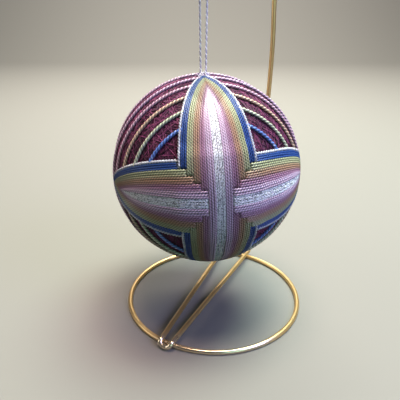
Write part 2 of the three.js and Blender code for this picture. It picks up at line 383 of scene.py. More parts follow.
def metallic_finish(foil):
    """Metallic thread: small facets of foil, some dull and some with a painted glint. Its pieces share
    it.
    """
    shared = bpy.data.materials.get(foil.name)
    if shared:
        return shared
    metal = Finish(foil.name)
    facets = metal.node(
        "ShaderNodeTexVoronoi", {"feature": "F1"},
        {"Vector": metal.place(), "Scale": foil.facet_scale}, output="Color",
    )
    chance = metal.node("ShaderNodeSeparateColor", sockets={0: facets}, output="Red")
    shine = metal.node("ShaderNodeSeparateColor", sockets={0: facets}, output="Green")
    ridge_shade = metal.attribute("ridge_shade", "Fac")
    dull = shine < foil.dull_share
    # Painted shade from the ridge shade: lighter on the ridges, darker in the valleys
    light = ridge_shade.between(foil.valley_light, RIDGE_LIGHT) * dull.between(1, foil.dull_light)
    body = metal.scaled(metal.attribute("tint", "Color"), light)
    # Painted highlight: white glints on some facets, where the ridge shade is light
    glint = (chance > 1 - foil.glint_share) * ridge_shade
    return metal.surface(
        Base_Color=metal.mixed(GLINT_AMOUNT * glint, body, GLINT_COLOUR),
        Metallic=FOIL_METALLIC * shine,
        Roughness=chance.between(*FOIL_ROUGHNESS) + DULL_ROUGHNESS * dull,
        Specular_IOR_Level=foil.specular,
        Normal=metal.bump(shine, *FOIL_BUMP),
    )


FLECK_SCALE = 900.0
FLECK_LIGHT = (0.35, 1.65)
WINDING_ROUGHNESS = (0.7, 0.5)
WINDING_SPECULAR = 0.25
WINDING_BUMP = (0.3, 0.05 * MM)


def winding_finish():
    """Fine winding thread: matt, with dark and bright flecks along it."""
    winding = Finish("winding_thread")
    flecks = winding.noise(FLECK_SCALE, FINE)
    fibres = winding.noise(FIBRE_SCALE)
    tint = winding.attribute("tint", "Color")
    return winding.surface(
        Base_Color=winding.scaled(tint, flecks.between(*FLECK_LIGHT)),
        Roughness=fibres.between(*WINDING_ROUGHNESS),
        Specular_IOR_Level=WINDING_SPECULAR,
        Normal=winding.bump(fibres, *WINDING_BUMP),
    )


ROUND_SCALE = 700.0
CORE_ROUGHNESS = (0.85, 0.75)
CORE_BUMP = (0.6, 0.2 * MM)


def core_finish(colours):
    """Under-winding that shows as shade between the windings."""
    core = Finish("under_winding")
    rounds = core.noise(ROUND_SCALE, FINEST)
    return core.surface(
        Base_Color=core.mixed(rounds, tuple(colours.wine_dark), tuple(colours.wine)),
        Roughness=rounds.between(*CORE_ROUGHNESS),
        Normal=core.bump(rounds, *CORE_BUMP),
    )


TARNISH_SCALE, MARK_SCALE, FRONT_PATCH_SCALE = 90.0, 2600.0, 45.0
TARNISH_FROM, TARNISH_GAIN = 0.42, 1.1
# Paler, smoother patches on the wire towards the front of the stand
PALE_FRONT_FROM, PALE_FRONT_TO = -35 * MM, -44 * MM
PALE_FRONT_AMOUNT = (0.3, 1.2)
BRASS_METALLIC = 0.85
BRASS_ROUGHNESS = (0.24, 0.4)
MARK_ROUGHNESS = 0.06
PALE_FRONT_SMOOTHNESS = 0.16
BRASS_BUMP = (0.08, 0.03 * MM)


def brass_finish(colours):
    """Drawn brass wire: faint tarnish, fine drawing marks, and paler and smoother in patches towards
    the front of the stand.
    """
    brass = Finish("brass_wire")
    tarnish = brass.noise(TARNISH_SCALE, FINEST)
    marks = brass.noise(MARK_SCALE, FINE)
    front_patches = brass.noise(FRONT_PATCH_SCALE)
    dulled = (tarnish - TARNISH_FROM) * TARNISH_GAIN
    depth = brass.node("ShaderNodeSeparateXYZ", sockets={0: brass.place()}, output="Y")
    front = brass.node(
        "ShaderNodeMapRange", {"interpolation_type": "SMOOTHSTEP"},
        {"Value": depth, "From Min": PALE_FRONT_TO, "From Max": PALE_FRONT_FROM, "To Min": 1.0, "To Max": 0.0},
    )
    pale_front = front * front_patches.between(*PALE_FRONT_AMOUNT)
    drawn = brass.mixed(dulled, tuple(colours.brass), tuple(colours.tarnish))
    roughness = tarnish.between(*BRASS_ROUGHNESS) + MARK_ROUGHNESS * marks
    return brass.surface(
        Base_Color=brass.mixed(pale_front, drawn, tuple(colours.pale_front)),
        Metallic=BRASS_METALLIC,
        Roughness=roughness - PALE_FRONT_SMOOTHNESS * pale_front,
        Normal=brass.bump(marks, *BRASS_BUMP),
    )


GRAIN_SCALE = 220.0
GRAIN_AMOUNT = 0.12
FLOOR_ROUGHNESS = (0.8, 0.9)
FLOOR_SPECULAR = 0.2


def floor_finish(colours):
    """Plain pale floor with a faint grain."""
    floor = Finish("pale_floor")
    grain = floor.noise(GRAIN_SCALE, FINEST)
    shades = tuple(colours.floor), tuple(colours.floor_grain)
    return floor.surface(
        Base_Color=floor.mixed(GRAIN_AMOUNT * grain, *shades),
        Roughness=grain.between(*FLOOR_ROUGHNESS),
        Specular_IOR_Level=FLOOR_SPECULAR,
    )


# Threads and wires
class Section(NamedTuple):
    """Corners round a thread: their angles, how far out they are, and which ply they are on."""

    angles: np.ndarray
    reaches: np.ndarray
    plies: np.ndarray


class Strand(NamedTuple):
    """A length of thread or wire: its route, the way out of the ball along it, and its make.

    side_light is the painted light that its sides keep, and shade the painted shade at each point of
    the route.
    """

    route: np.ndarray
    outward: np.ndarray
    thickness: float | np.ndarray
    pitch: float
    start: float
    tints: tuple
    finish: int = 0
    round_ends: bool = False
    side_light: float = 1.0
    shade: float | np.ndarray = 1.0


PLY_ROUNDNESS = 2.6
ROUNDING = 1e-6
BLUNT_END = 0.04


def whole_round(count):
    """Angles at even steps round a circle."""
    return np.arange(count) * 2 * np.pi / count


def twisted_section(corners, valley):
    """Two plies side by side: valley is how deep they meet, as a part of the full radius."""
    angles = whole_round(corners)
    reaches = 1 - (1 - valley) * np.abs(np.sin(angles)) ** PLY_ROUNDNESS
    return Section(angles, reaches, (np.cos(angles) < -ROUNDING).astype(int))


def round_section(corners):
    """A plain round thread or wire."""
    return Section(whole_round(corners), np.ones(corners), np.zeros(corners, int))


def unit(vectors):
    """Vectors with their length made 1."""
    return vectors / np.linalg.norm(vectors, axis=-1, keepdims=True)


def turned(angles, start, towards):
    """Ways that lie at angles from a start, towards a way that is square to it."""
    return np.cos(angles)[:, None] * start + np.sin(angles)[:, None] * towards


def on_floor(point):
    """The place on the floor below a point."""
    return point * (1, 1, 0)


def all_up(route):
    """The way up, at each point of a route."""
    return np.tile(TOP, (len(route), 1))


def smoothstep(low, high, value):
    """0 below low, 1 above high, and an easy curve between them."""
    part = np.clip((value - low) / (high - low), 0, 1)
    return part * part * (3 - 2 * part)


def smooth_route(points, steps):
    """A centripetal Catmull-Rom curve through the points, with some steps in each span."""
    points = np.asarray(points, float)
    ends = (2 * points[:1] - points[1:2], points, 2 * points[-1:] - points[-2:-1])
    stops = np.vstack(ends)
    gaps = np.sqrt(np.linalg.norm(np.diff(stops, axis=0), axis=1))
    t = np.linspace(0, 1, steps, endpoint=False)[:, None]
    spans = []
    for k in range(len(points) - 1):
        p0, p1, p2, p3 = stops[k:k + 4]
        before, here, after = gaps[k:k + 3]
        leave = (p1 - p0) / before - (p2 - p0) / (before + here) + (p2 - p1) / here
        arrive = (p2 - p1) / here - (p3 - p1) / (here + after) + (p3 - p2) / after
        leave, arrive = leave * here, arrive * here
        rise = p2 - p1
        square = 3 * rise - 2 * leave - arrive
        cube = leave + arrive - 2 * rise
        spans.append(p1 + leave * t + square * t**2 + cube * t**3)
    return np.vstack([*spans, points[-1:]])


def run_along(route):
    """Distance along a route at each of its points."""
    return np.concatenate(([0], np.cumsum(np.linalg.norm(np.diff(route, axis=0), axis=1))))


def even_route(route, step):
    """The same route with points at even distances of about one step."""
    run = run_along(route)
    places = np.linspace(0, run[-1], max(3, round(run[-1] / step) + 1))
    return np.stack([np.interp(places, run, route[:, axis]) for axis in range(3)], axis=1)


def carried_normals(route, start):
    """Normals carried along a route without twisting about it."""
    normal = np.array(start, float)
    normals = []
    for tangent in unit(np.gradient(route, axis=0)):
        normal = unit(normal - np.dot(normal, tangent) * tangent)
        normals.append(normal)
    return np.array(normals)


def swept(strand, section):
    """Rings of points round a strand whose plies turn, how far each faces out, and if it closes."""
    route, outward = strand.route, strand.outward
    run = run_along(route)
    whole = run[-1]
    turns = whole / strand.pitch
    closed = np.allclose(route[0], route[-1])
    if closed:
        turns = round(turns)
        tangents = np.roll(route[:-1], -1, axis=0) - np.roll(route[:-1], 1, axis=0)
        route, outward = route[:-1], outward[:-1]
    else:
        tangents = np.gradient(route, axis=0)
    across = unit(np.cross(tangents, outward))
    outward = unit(np.cross(across, tangents))
    run = run[:len(route)]
    twist = strand.start + 2 * np.pi * turns * run / whole
    angles = section.angles + twist[:, None]
    sideways = np.cos(angles)[..., None] * across[:, None]
    spread = sideways + np.sin(angles)[..., None] * outward[:, None]
    radius = np.broadcast_to(np.divide(strand.thickness, 2), len(route)).copy()
    if strand.round_ends:
        to_end = np.minimum(run, run[-1] - run) / radius
        radius *= np.sqrt(np.clip(1 - (1 - np.minimum(to_end, 1)) ** 2, BLUNT_END, 1))
    rings = route[:, None] + spread * section.reaches[:, None] * radius[:, None, None]
    return rings, np.sin(angles), closed


def tube_faces(count, corners, closed):
    """Faces between the rings of a tube, and over its two ends if it is open."""
    ring = np.arange(count if closed else count - 1)[:, None] * corners
    next_ring = (ring + corners) % (count * corners)
    here = np.arange(corners)[None, :]
    there = (here + 1) % corners
    sides = np.stack((ring + here, next_ring + here, next_ring + there, ring + there), axis=-1)
    faces = sides.reshape(-1, 4).tolist()
    if not closed:
        faces.append(list(range(corners)))
        faces.append(list(range(count * corners - 1, (count - 1) * corners - 1, -1)))
    return faces


def thread_piece(name, strands, section, finishes, placed=None):
    """One object of many strands, with their tints and a painted shade for their ply valleys and sides
    as attributes.
    """
    points, faces, tints, ridge_shades, kinds = [], [], [], [], []
    used = 0
    # Painted shade: darker in the valleys between the plies
    depth = max(1 - section.reaches.min(), ROUNDING)
    ridge_shade = 1 - (1 - section.reaches) / depth
    for strand in strands:
        rings, facing, closed = swept(strand, section)
        count, corners = facing.shape
        shade = np.broadcast_to(np.reshape(strand.shade, (-1, 1)), facing.shape)
        # Painted shade: the sides of a strand keep only side_light, and every point keeps its shade
        light = shade * (strand.side_light + (1 - strand.side_light) * np.clip(facing, 0, 1))
        made = tube_faces(count, corners, closed)
        faces.extend([[corner + used for corner in face] for face in made])
        kinds.extend([strand.finish] * len(made))
        points.append(rings.reshape(-1, 3))
        # Painted shade darkens the tints where a row goes under the other spindle and towards its tips
        tints.append((np.array(strand.tints)[section.plies] * shade[..., None]).reshape(-1, 3))
        ridge_shades.append((ridge_shade * light).ravel())
        used += count * corners
    points = np.concatenate(points)
    if placed:
        points = placed(points)
    mesh = bpy.data.meshes.new(name)
    mesh.from_pydata(points.tolist(), [], faces)
    shades = np.concatenate(tints)
    shades = np.column_stack((shades, np.ones(len(shades))))
    mesh.attributes.new("tint", "FLOAT_COLOR", "POINT").data.foreach_set("color", shades.ravel())
    mesh.attributes.new("ridge_shade", "FLOAT", "POINT").data.foreach_set("value", np.concatenate(ridge_shades))
    for finish in finishes:
        mesh.materials.append(finish)
    mesh.polygons.foreach_set("material_index", np.array(kinds, np.int32))
    mesh.shade_smooth()
    mesh.update()
    piece = bpy.data.objects.new(name, mesh)
    bpy.context.scene.collection.objects.link(piece)
    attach(piece, "root")
    return piece


def stands_for(node):
    """Hides the solid of model.glb that a piece stands for."""
    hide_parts(node)


# The pattern on the ball
class End(NamedTuple):
    """One end of a spindle: how far its tip reaches, and the power of its curve."""

    reach: float
    taper: float


class Spindle(NamedTuple):
    """A leaf-shaped field of rows: the point it faces, the way it runs, its ends and half-width."""

    name: str
    face: np.ndarray
    along: np.ndarray
    first_end: End
    last_end: End
    half_width: float
    upright: bool

    def across(self):
        """The way across the spindle."""
        return np.cross(self.along, self.face)

    def off_middle(self, ways):
        """How far each way from the ball's middle lies off the spindle's middle, as an angle."""
        return np.abs(np.arcsin(np.clip(ways @ self.across(), -1, 1)))

    def part_across(self, ways):
        """The same, as a part of the half-width."""
        return self.off_middle(ways) / self.half_width

    def by_end(self, run, field):
        """The reach or the taper that holds at each place along the spindle."""
        return np.where(run < 0, getattr(self.first_end, field), getattr(self.last_end, field))


def dropped(way, drop):
    """A level way turned down by an angle."""
    return math.cos(drop) * way - math.sin(drop) * TOP


def spindles(ball):
    """The four spindles, with the level one of each side before the upright one."""
    lower, upper = End(ball.lower_reach, ball.lower_taper), End(ball.upper_reach, ball.upper_taper)
    left, right = End(ball.left_reach, ball.left_taper), End(ball.right_reach, ball.right_taper)
    made = []
    for side, face in (("front", FRONT), ("back", -FRONT)):
        level_face = dropped(face, ball.level_drop)
        made.append(Spindle(
            f"{side}_level_spindle", level_face, RIGHT, left, right, ball.level_width, False
        ))
        made.append(Spindle(
            f"{side}_upright_spindle", face, TOP, lower, upper, ball.upright_width, True
        ))
    return made


def pattern_placed(ball):
    """A function that turns points of the pattern as the ball hangs, and puts them on the ball."""
    turn = Matrix.Rotation(ball.turn, 3, "Z")
    tilt = Matrix.Rotation(-ball.tilt, 3, "X")
    roll = Matrix.Rotation(-ball.roll, 3, "Y")
    hanging = np.array(turn @ tilt @ roll)
    return lambda points: points @ hanging.T + BALL_CENTRE


TUCK_UNDER = math.radians(1.6)
PAST_TIP = 1.2


def spindle_cover(ball, ways):
    """How far inside a spindle each way from the ball's middle lies, as an angle."""
    cover = np.full(len(ways), -np.pi)
    for spindle in spindles(ball):
        run = np.arctan2(ways @ spindle.along, ways @ spindle.face)
        place = np.minimum(np.abs(run) / spindle.by_end(run, "reach"), PAST_TIP)
        width = spindle.half_width * (1 - place ** spindle.by_end(run, "taper"))
        cover = np.maximum(cover, width - spindle.off_middle(ways))
    return cover


def showing_runs(ball, ways):
    """Stretches of a closed round that no spindle covers, each as indexes in order."""
    shown = spindle_cover(ball, ways) < TUCK_UNDER
    count = len(shown)
    if shown.all():
        return [np.arange(count + 1) % count]
    order = (np.arange(count) + int(np.argmin(shown))) % count
    cuts = np.flatnonzero(np.diff(shown[order].astype(int))) + 1
    return [run for run in np.split(order, cuts) if shown[run[0]] and len(run) > 2]


# The ground of the ball
CORE_SUBDIVISIONS = 6
CORE_DEPTH = 0.6 * MM
CORE_LUMPS = 0.12 * MM
CORE_WAVES = 24
CORE_WAVE_RATES = (20, 60)


class TEMARI_OT_wind_core(Operator):
    """Make the tight under-winding of the ball"""

    bl_idname = "temari.wind_core"
    bl_label = "Wind Core"

    def execute(self, context):
        ball = context.scene.temari_ball
        bpy.ops.mesh.primitive_ico_sphere_add(subdivisions=CORE_SUBDIVISIONS, radius=1)
        core = context.object
        core.name = "wound_core"
        core.data.name = core.name
        ways = np.empty(len(core.data.vertices) * 3)
        core.data.vertices.foreach_get("co", ways)
        ways = unit(ways.reshape(-1, 3))
        rng = np.random.default_rng(CORE_SEED)
        lumps = np.zeros(len(ways))
        for _ in range(CORE_WAVES):
            axis = unit(rng.normal(size=3))
            lumps += np.sin(ways @ axis * rng.uniform(*CORE_WAVE_RATES) + rng.uniform(*ANY_TURN))
        radius = ball.ground - CORE_DEPTH + CORE_LUMPS * lumps / np.abs(lumps).max()
        core.data.vertices.foreach_set("co", (ways * radius[:, None] + BALL_CENTRE).ravel())
        core.data.materials.append(core_finish(context.scene.temari_colours))
        core.data.shade_smooth()
        core.data.update()
        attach(core, "root")
        stands_for("temari_ball")
        return {"FINISHED"}


# A winding is too fine for its plies to show, so its pitch is a metre
WINDING_STEPS = 120
WINDING_DEPTH = 0.5 * MM
WINDING_CHANCES = (0.52, 0.3, 0.18)
WINDING_TINTS = (0.8, 1.2)
WINDING_WIDTHS = (0.8, 1.15)
WINDING_CORNERS = 3
WINDING_PITCH = 1.0
WINDING_START = np.pi / 2


class TEMARI_OT_wind_ground(Operator):
    """Wind fine wine-coloured thread round the ball in every direction"""

    bl_idname = "temari.wind_ground"
    bl_label = "Wind Ground"

    def execute(self, context):
        ball = context.scene.temari_ball
        colours = context.scene.temari_colours
        rng = np.random.default_rng(GROUND_SEED)
        wines = np.array((colours.wine, colours.wine_dark, colours.wine_bright))
        around = whole_round(WINDING_STEPS)
        strands = []
        for _ in range(ball.windings):
            axis = unit(rng.normal(size=3))
            start = unit(np.cross(axis, rng.normal(size=3)))
            ways = turned(around, start, np.cross(axis, start))
            radius = ball.ground - ball.winding / 2 - WINDING_DEPTH * rng.random()
            tint = wines[rng.choice(len(wines), p=WINDING_CHANCES)] * rng.uniform(*WINDING_TINTS)
            thickness = ball.winding * rng.uniform(*WINDING_WIDTHS)
            for run in showing_runs(ball, ways):
                strands.append(Strand(
                    ways[run] * radius, ways[run], thickness, WINDING_PITCH, WINDING_START, (tint, tint)
                ))
        section = round_section(WINDING_CORNERS)
        placed = pattern_placed(ball)
        piece = thread_piece("wound_ground", strands, section, [winding_finish()], placed)
        stands_for("temari_ball")
        return {"FINISHED"}


# The thread rings
RING_STEP = 0.5 * MM
RING_SEAT = 0.2
RING_PLY_SHADE = 0.92
# Painted shade on the sides of a ring strand
RING_SIDE_LIGHT = 0.25
RING_CORNERS, RING_VALLEY = 10, 0.78


class TEMARI_OT_lay_rings(Operator):
    """Lay the thick twisted rings that the spindles are worked over"""

    bl_idname = "temari.lay_rings"
    bl_label = "Lay Thread Rings"

    def execute(self, context):
        ball = context.scene.temari_ball
        colours = context.scene.temari_colours
        rng = np.random.default_rng(RING_SEED)
        strands = []
        middle = dropped(FRONT, ball.ring_drop)
        upward = np.cross(middle, RIGHT)
        radius = ball.ground + RING_SEAT * ball.strand
        ring_angles = np.linspace(ball.first_ring, ball.last_ring, len(RING_COLOURS))
        for name, ring_angle in zip(RING_COLOURS, ring_angles):
            shade = np.array(getattr(colours, name))
            tints = (shade, shade * RING_PLY_SHADE)
            for away in (ring_angle, np.pi - ring_angle):
                count = round(2 * np.pi * ball.ground * math.sin(away) / RING_STEP)
                sideways = turned(whole_round(count), RIGHT, upward)
                ways = math.cos(away) * middle + math.sin(away) * sideways
                for run in showing_runs(ball, ways):
                    start = rng.uniform(*ANY_TURN)
                    strands.append(Strand(
                        ways[run] * radius, ways[run], ball.strand, ball.strand_pitch, start, tints,
                        side_light=RING_SIDE_LIGHT,
                    ))
        section = twisted_section(RING_CORNERS, RING_VALLEY)
        finishes = [metallic_finish(RING_FOIL)]
        piece = thread_piece("thread_rings", strands, section, finishes, pattern_placed(ball))
        stands_for("temari_ball")
        return {"FINISHED"}


# The spindles. Where rows cross, they climb, dive and go under within these parts of the other
# spindle's half-width, and as deep as UNDER, in crossing lifts.
CLIMB_RUN = 0.35
DIVE_INSIDE, DIVE_OUTSIDE = 0.005, 0.045
EDGE_RUN = 0.03
UNDER = 0.95


def band_edges():
    """Outer and inner edge of each band, as parts of a spindle's half-width."""
    parts = [band.outer / SPINDLE_EDGE for band in BANDS] + [0.0]
    return list(zip(parts, parts[1:]))


def course_inner_edge(course):
    """How near to the middle a course of stitching comes, as a part of the half-width."""
    return min(inner for band, (_, inner) in zip(BANDS, band_edges()) if band.course == course)


def crossing_level(spindle, course, other_part):
    """1 where a row rides over the other spindle, less than 0 under it, and 0 clear of it."""
    last_course = BANDS[-1].course
    inside = 1 - smoothstep(1 - EDGE_RUN, 1 + EDGE_RUN, other_part)
    # The last course of the other spindle that is already there for the row to ride over
    covered = course if spindle.upright else course - 1
    if covered < 0:
        return -UNDER * inside
    climbed = 1 - smoothstep(1.0, 1.0 + CLIMB_RUN, other_part)
    if covered == last_course:
        return climbed
    edge = course_inner_edge(covered)
    over = smoothstep(edge - DIVE_INSIDE, edge + DIVE_OUTSIDE, other_part)
    return climbed * over - UNDER * inside * (1 - over)


class Row(NamedTuple):
    """A row of a spindle: its side, its part of the half-width, its band and its thread."""

    side: int
    part: float
    band: Band
    thickness: float
    tint: np.ndarray


# The run of a row, with angles in radians: inner rows stop short of the tip and narrow more suddenly
ROW_STEP = 0.3 * MM
ROW_SPARE = 1.05
TIP_PARTS = (0, 0.125, 0.29, 0.46, 1)
TIP_SHORT = np.radians((22.5, 22.0, 20.5, 16.0, 0.0))
TIP_OVERRUN = math.radians(1.0)
INNER_TAPER, INNER_PART = 1.5, 0.36
ROW_WOBBLE = 0.0016
WOBBLE_RATES = (5, 9)

# The height of a row and the turns of its plies, which line up in slanting strokes
ROW_SEAT = 0.35 * MM
ROW_UNEVEN = 0.03 * MM
TIP_SINK, TIP_SINK_RUN = 0.6 * MM, math.radians(0.6)
TIP_THINNING, TIP_THINNING_FROM = 0.6, 0.6
ROW_OVERLAP = 1.3
ROW_CORNERS, ROW_VALLEY = 4, 0.6
STROKE_LEAN = -0.42
PHASE_JITTER = 0.3

# Painted shade on a row, darker on its sides, where it goes under the other spindle and towards its
# tips; and its tint
SIDE_LIGHT = 0.85
UNDER_SHADE = 0.85
TIP_SHADE, TIP_SHADE_EASE = 0.5, 0.6
TIP_SHADE_FROM, TIP_SHADE_TO = 0.42, 0.95
ROW_TINTS = (0.94, 1.06)
BAND_SHADING = 0.3
UNSHADED = "blue"


def row_strand(ball, spindle, other, row, rng):
    """One row of a spindle, from tip to tip."""
    short = np.interp(row.part, TIP_PARTS, TIP_SHORT)
    first = spindle.first_end.reach - short + TIP_OVERRUN
    last = spindle.last_end.reach - short + TIP_OVERRUN
    count = round(ROW_SPARE * (first + last) * ball.ground / ROW_STEP)
    run = np.linspace(-first, last, count)
    reach = spindle.by_end(run, "reach")
    tip = reach - short
    inner = max(0.0, 1 - row.part / INNER_PART)
    taper = spindle.by_end(run, "taper") * (1 + INNER_TAPER * inner)
    narrowed = 1 - (np.abs(run) / tip) ** taper
    wobble = ROW_WOBBLE * np.sin(run * rng.uniform(*WOBBLE_RATES) + rng.uniform(*ANY_TURN))
    width = row.side * (spindle.half_width * row.part + wobble) * narrowed
    ways = turned(width, turned(run, spindle.face, spindle.along), spindle.across())

    level = crossing_level(spindle, row.band.course, other.part_across(ways))
    crown = ball.crown * (1 - row.part**2)
    sink = TIP_SINK * smoothstep(tip - TIP_SINK_RUN, tip + TIP_OVERRUN, np.abs(run))
    lift = ball.padding + ROW_SEAT + crown + ball.crossing * level - sink
    lift = lift + rng.uniform(-ROW_UNEVEN, ROW_UNEVEN)
    route = ways * (ball.ground + lift)[:, None]

    thinned = TIP_THINNING + (1 - TIP_THINNING) * np.clip(narrowed / TIP_THINNING_FROM, 0, 1)
    row_width = row.thickness / ROW_OVERLAP
    rows_across = row.side * row.part * spindle.half_width * ball.ground / row_width
    lean = STROKE_LEAN * np.pi * rows_across + rng.uniform(-PHASE_JITTER, PHASE_JITTER)
    turns_to_middle = np.interp(0, run, run_along(route)) / ball.ply_pitch
    start = lean - 2 * np.pi * turns_to_middle

    # Painted shade: darker where the row goes under the other spindle and towards its tips, and on its
    # sides unless it is silver
    to_tip = smoothstep(TIP_SHADE_FROM, TIP_SHADE_TO, np.abs(run) / reach)
    tip_shade = TIP_SHADE * (1 - TIP_SHADE_EASE * row.part)
    shade = (1 - UNDER_SHADE * np.clip(-level / UNDER, 0, 1)) * (1 - tip_shade * to_tip)
    side_light = 1.0 if row.band.finish == SILVER else SIDE_LIGHT
    return Strand(
        route, ways, row.thickness * thinned, ball.ply_pitch, start, (row.tint, row.tint),
        row.band.finish, side_light=side_light, shade=shade,
    )


def row_tint(colours, band, place):
    """The colour of a row at a place in its band, shaded towards the next cotton band."""
    here = BANDS.index(band)
    beside = BANDS[max(here - 1, 0)] if place < 0.5 else BANDS[min(here + 1, len(BANDS) - 1)]
    tint = np.array(getattr(colours, band.colour))
    both_cotton = band.finish == COTTON and beside.finish == COTTON
    if UNSHADED in (band.colour, beside.colour) or not both_cotton:
        return tint
    amount = BAND_SHADING * abs(place - 0.5) * 2
    return tint * (1 - amount) + np.array(getattr(colours, beside.colour)) * amount


class TEMARI_OT_stitch_spindles(Operator):
    """Stitch the crossed spindles of the front and the back, row by row"""

    bl_idname = "temari.stitch_spindles"
    bl_label = "Stitch Spindles"

    def execute(self, context):
        ball = context.scene.temari_ball
        finishes = [cotton_finish(), metallic_finish(TINSEL_FOIL), metallic_finish(SILVER_FOIL)]
        section = twisted_section(ROW_CORNERS, ROW_VALLEY)
        rng = np.random.default_rng(SPINDLE_SEED)
        made = spindles(ball)
        for index, spindle in enumerate(made):
            other = made[index - 1] if spindle.upright else made[index + 1]
            rows = self.rows(context, spindle, other, rng)
            piece = thread_piece(spindle.name, rows, section, finishes, pattern_placed(ball))
            stands_for("temari_ball")
        return {"FINISHED"}

    def rows(self, context, spindle, other, rng):
        """The strands of one spindle, from its edges inwards."""
        ball = context.scene.temari_ball
        colours = context.scene.temari_colours
        strands = []
        for band, (outer, inner) in zip(BANDS, band_edges()):
            pitch = (outer - inner) / band.rows
            thickness = pitch * spindle.half_width * ball.ground * ROW_OVERLAP
            for number in range(band.rows):
                middle = number + 0.5
                for side in (-1, 1):
                    tint = row_tint(colours, band, middle / band.rows) * rng.uniform(*ROW_TINTS)
                    row = Row(side, outer - middle * pitch, band, thickness, tint)
                    strands.append(row_strand(ball, spindle, other, row, rng))
        return strands


# The hanging loop. The points of its sides are millimetres from its middle and from the floor.
LOOP_SIDE = ((1.58, 126), (1.67, 132), (1.77, 138), (1.87, 144), (1.97, 150))
LOOP_TOP_HEIGHT = 156 * MM
LOOP_FOOT_LIFT = 0.1 * MM
LOOP_BELOW_SEAT = 1.5 * MM
LOOP_BENDS = (np.pi / 6, np.pi / 3)
LOOP_TUCK = 1.2 * MM
LOOP_CORNERS, LOOP_VALLEY = 12, 0.6
CORD_STEP = 0.22 * MM
CURVE_STEPS, PATH_STEPS = 24, 8


def hook_plane(stand):
    """The places of the hook and the upright on the floor, and the way from one to the other."""
    middle = on_floor(BALL_CENTRE)
    hook = middle + (stand.loop_x, 0, 0)
    upright = middle + (stand.upright_x, stand.upright_y, 0)
    return hook, upright, unit(hook - upright)


def loop_route(ball, stand):
    """The hanging loop from one foot over the hook to the other."""
    reach = stand.wire / 2 + stand.seat_gap + stand.cord / 2
    seat = stand.hook_height - stand.hook_radius
    mound = stand.foot_rise * math.sqrt(1 - (stand.cord_foot / stand.foot_radius) ** 2)
    foot = BALL_HEIGHT + ball.ground - stand.foot_sink + mound
    half = [(stand.cord_foot, foot + stand.seat_gap + LOOP_FOOT_LIFT)]
    half += [(out * MM, height * MM) for out, height in LOOP_SIDE]
    half += [(reach, LOOP_TOP_HEIGHT), (reach, seat - LOOP_BELOW_SEAT), (reach, seat)]
    half += [(reach * math.cos(bend), seat + reach * math.sin(bend)) for bend in LOOP_BENDS]
    route = [*half, (0, seat + reach), *((-out, height) for out, height in reversed(half))]
    hook, _, way = hook_plane(stand)
    across = np.array((-way[1], way[0], 0))
    return np.array([hook + out * across + height * TOP for out, height in route])


class TEMARI_OT_hang_loop(Operator):
    """Hang the ball's twisted cord over the hook"""

    bl_idname = "temari.hang_loop"
    bl_label = "Hang Loop"

    def execute(self, context):
        stand = context.scene.temari_stand
        colours = context.scene.temari_colours
        path = loop_route(context.scene.temari_ball, stand)
        shown = path.copy()
        shown[[0, -1], 2] -= LOOP_TUCK
        route = even_route(smooth_route(shown, CURVE_STEPS), CORD_STEP)
        outward = carried_normals(route, RIGHT)
        tints = (np.array(colours.cord_light), np.array(colours.cord_dark))
        strand = Strand(route, outward, stand.cord, stand.cord_pitch, 0.0, tints)
        section = twisted_section(LOOP_CORNERS, LOOP_VALLEY)
        piece = thread_piece("twisted_loop", [strand], section, [metallic_finish(TINSEL_FOIL)])
        stands_for("hanging_loop")
        run = run_along(smooth_route(path, PATH_STEPS))
        smooth_route(path, PATH_STEPS)
        return {"FINISHED"}


# The foot of the loop: a spiral of thread over a mound, and stitches across it
FOOT_TURNS = 5
FOOT_TURN_POINTS = 40
FOOT_THREAD = 0.62 * MM
FOOT_PITCH = 2.4 * MM
FOOT_PLY_SHADE = 0.8
FOOT_EYE = 0.3 * MM
FOOT_SEAT = 0.3 * MM
FOOT_CORNERS, FOOT_VALLEY = 8, 0.75
STITCH_THREAD = 0.55 * MM
STITCH_PITCH = 2.0 * MM
STITCH_WAYS = np.radians((-95, -62, -128, 20, 160, 90))
STITCH_POINTS = 16
STITCH_FROM, STITCH_PAST = 0.2 * MM, 0.5 * MM
STITCH_ARCH, STITCH_ARCH_FROM = 0.45 * MM, 0.25


class TEMARI_OT_sew_foot(Operator):
    """Sew the foot of the hanging loop to the top of the ball"""

    bl_idname = "temari.sew_foot"
    bl_label = "Sew Loop Foot"

    def execute(self, context):
        ball = context.scene.temari_ball
        stand = context.scene.temari_stand
        colours = context.scene.temari_colours
        middle = BALL_CENTRE + (stand.loop_x, 0, ball.ground - stand.foot_sink)

        def on_mound(out, way, lift):
            part = np.minimum(out / stand.foot_radius, 1)
            height = stand.foot_rise * np.sqrt(1 - part**2) - FOOT_SEAT + lift
            return middle + np.stack((out * np.cos(way), out * np.sin(way), height), axis=-1)

        around = np.linspace(0, FOOT_TURNS * 2 * np.pi, FOOT_TURNS * FOOT_TURN_POINTS)
        out = np.linspace(FOOT_EYE, stand.foot_radius - FOOT_THREAD / 2, len(around))
        spiral = on_mound(out, around, 0)
        shade = np.array(colours.foot)
        tints = (shade, shade * FOOT_PLY_SHADE)
        strands = [Strand(spiral, all_up(spiral), FOOT_THREAD, FOOT_PITCH, 0.0, tints)]

        out = np.linspace(STITCH_FROM, stand.foot_radius + STITCH_PAST, STITCH_POINTS)
        arch = STITCH_ARCH * np.sin(np.linspace(STITCH_ARCH_FROM, 1, STITCH_POINTS) * np.pi)
        tints = (np.array(colours.stitch),) * 2
        for way in STITCH_WAYS:
            stitch = on_mound(out, way, arch)
            strands.append(Strand(stitch, all_up(stitch), STITCH_THREAD, STITCH_PITCH, 0.0, tints))
        section = twisted_section(FOOT_CORNERS, FOOT_VALLEY)
        piece = thread_piece("loop_foot", strands, section, [metallic_finish(TINSEL_FOIL)])
        stands_for("temari_ball")
        return {"FINISHED"}


# The stand
class Bend(NamedTuple):
    """A point where the wire bends by the ring: millimetres past the nose, degrees, height."""

    past_nose: float
    angle: float
    height: float


